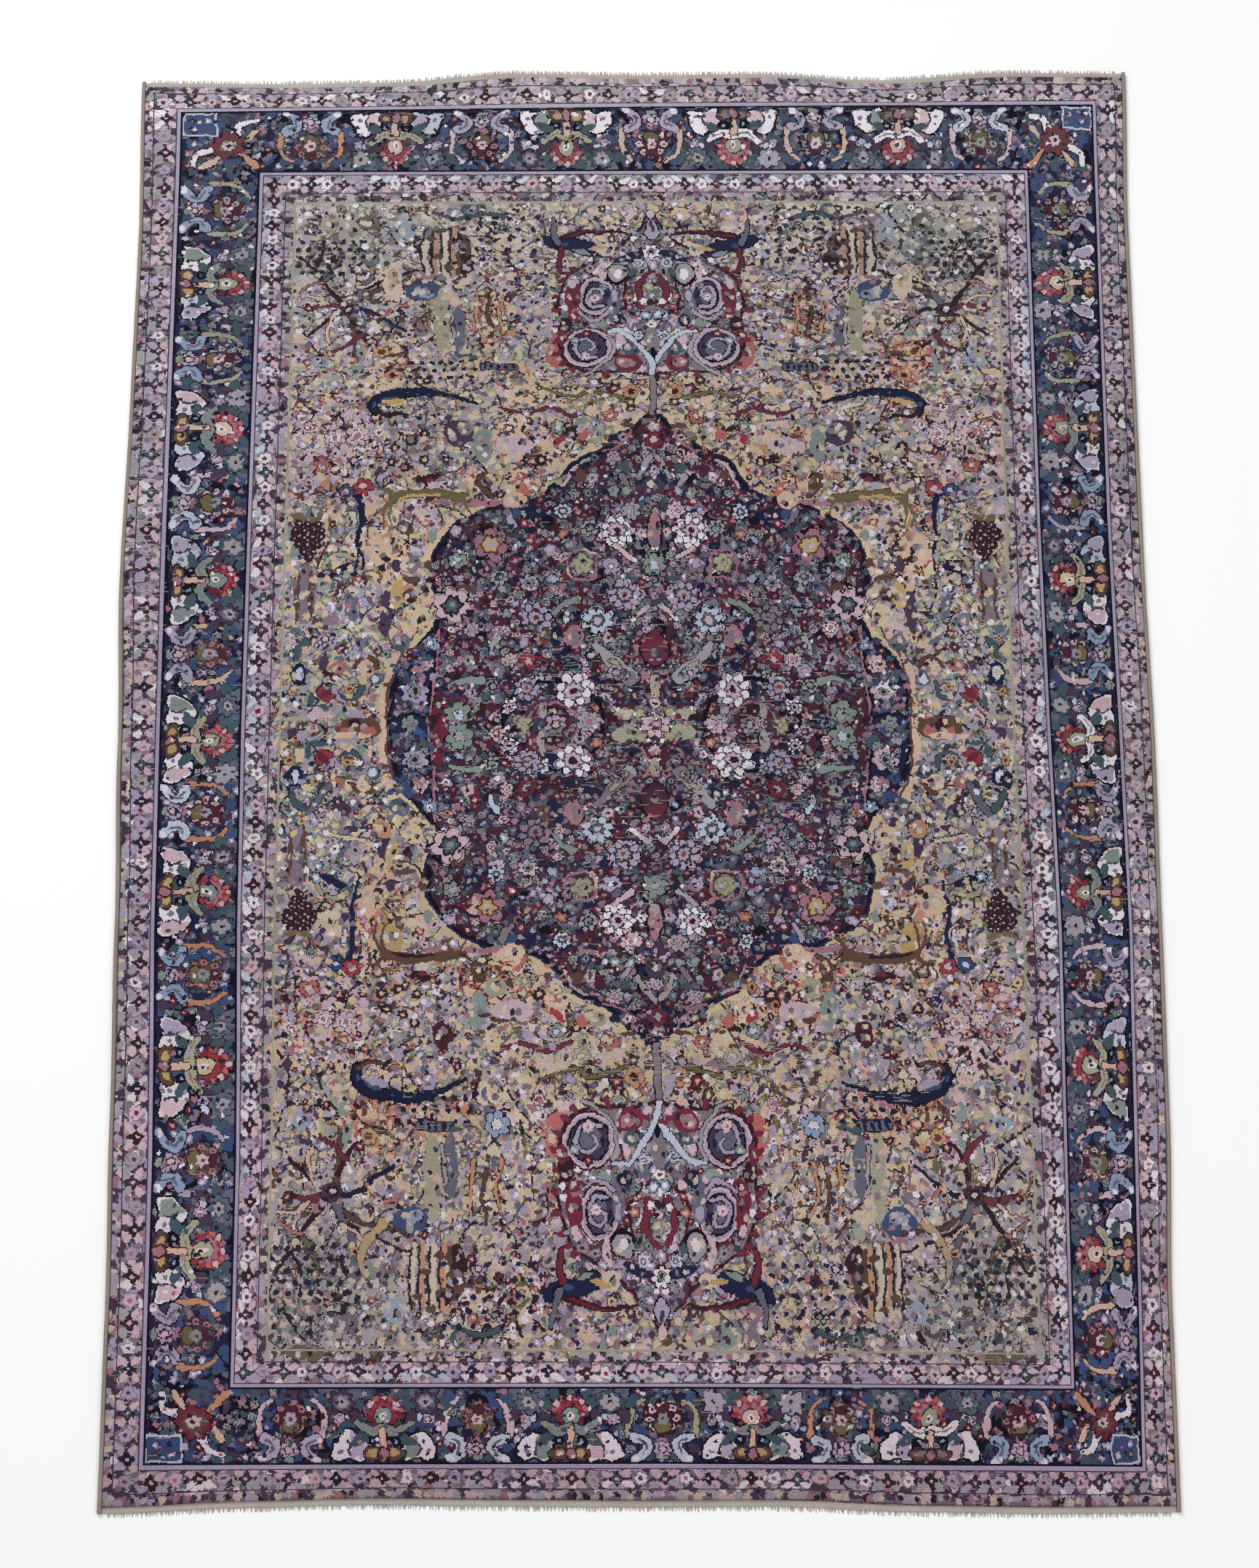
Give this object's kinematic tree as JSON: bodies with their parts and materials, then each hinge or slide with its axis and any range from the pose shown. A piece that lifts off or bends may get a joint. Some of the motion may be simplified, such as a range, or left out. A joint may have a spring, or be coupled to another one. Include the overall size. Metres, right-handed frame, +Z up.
{
  "type": "persian rug",
  "caption": "Flat hand-knotted wool rug with a lobed centre medallion, flower and animal field, navy main border, overcast sides and worn fringed ends.",
  "frame": {"origin": "on the floor, under the centre of the rug's overall rectangle", "axes": "+Z up, +X across the rug to the picture's right, +Y along the rug from the foot nearest the camera to the head"},
  "size_m": [1.388, 2.1039, 0.007],
  "materials": {
    "pile": "worn knotted wool pile in many colours",
    "selvedge": "wool yarn overcast round the side cord",
    "end_weave": "plain-woven cotton with worn warp ends"
  },
  "bodies": {
    "root": {"rug_body": "pile", "selvedge_left": "selvedge", "selvedge_right": "selvedge", "fringe_head": "end_weave", "fringe_foot": "end_weave"}
  },
  "joints": []
}
